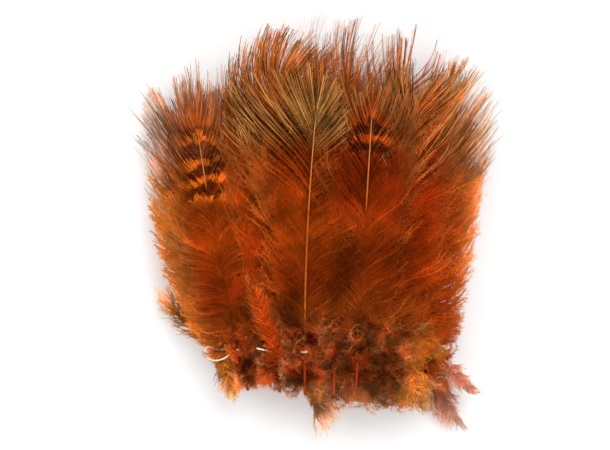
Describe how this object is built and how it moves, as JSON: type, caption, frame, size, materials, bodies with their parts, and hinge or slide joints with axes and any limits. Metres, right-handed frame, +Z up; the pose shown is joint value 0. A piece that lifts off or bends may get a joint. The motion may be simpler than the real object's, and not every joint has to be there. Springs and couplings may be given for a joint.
{
  "type": "strung pheasant rump hackle bunch",
  "caption": "Bunch of dyed orange pheasant rump hackles strung on a cotton thread, folded on itself and lying flat.",
  "frame": {"origin": "centre of the bunch's bounding box in plan, on the surface that it lies on", "axes": "+Y from the thread towards the feather tips, +Z up through the pile, +X to the right seen from above with the tips at the top"},
  "size_m": [0.0944, 0.11, 0.0257],
  "materials": {
    "hackle": "matt dyed feather, orange-brown with dark bars and olive-gold tips",
    "down": "soft dyed down, gold to reddish brown",
    "thread": "cream plied cotton"
  },
  "bodies": {
    "root": {"hackle_01": "hackle", "hackle_02": "hackle", "hackle_03": "hackle", "hackle_04": "hackle", "hackle_05": "hackle", "hackle_06": "hackle", "hackle_07": "hackle", "hackle_08": "hackle", "hackle_09": "hackle", "hackle_10": "hackle", "hackle_11": "hackle", "hackle_12": "hackle", "hackle_13": "hackle", "hackle_14": "hackle", "hackle_15": "hackle", "hackle_16": "hackle", "hackle_17": "hackle", "hackle_18": "hackle", "hackle_19": "hackle", "hackle_20": "hackle", "hackle_21": "hackle", "plume_1": "down", "plume_2": "down", "plume_3": "down", "plume_4": "down", "plume_5": "down", "plume_6": "down", "plume_7": "down", "stringing_thread": "thread"}
  },
  "joints": []
}
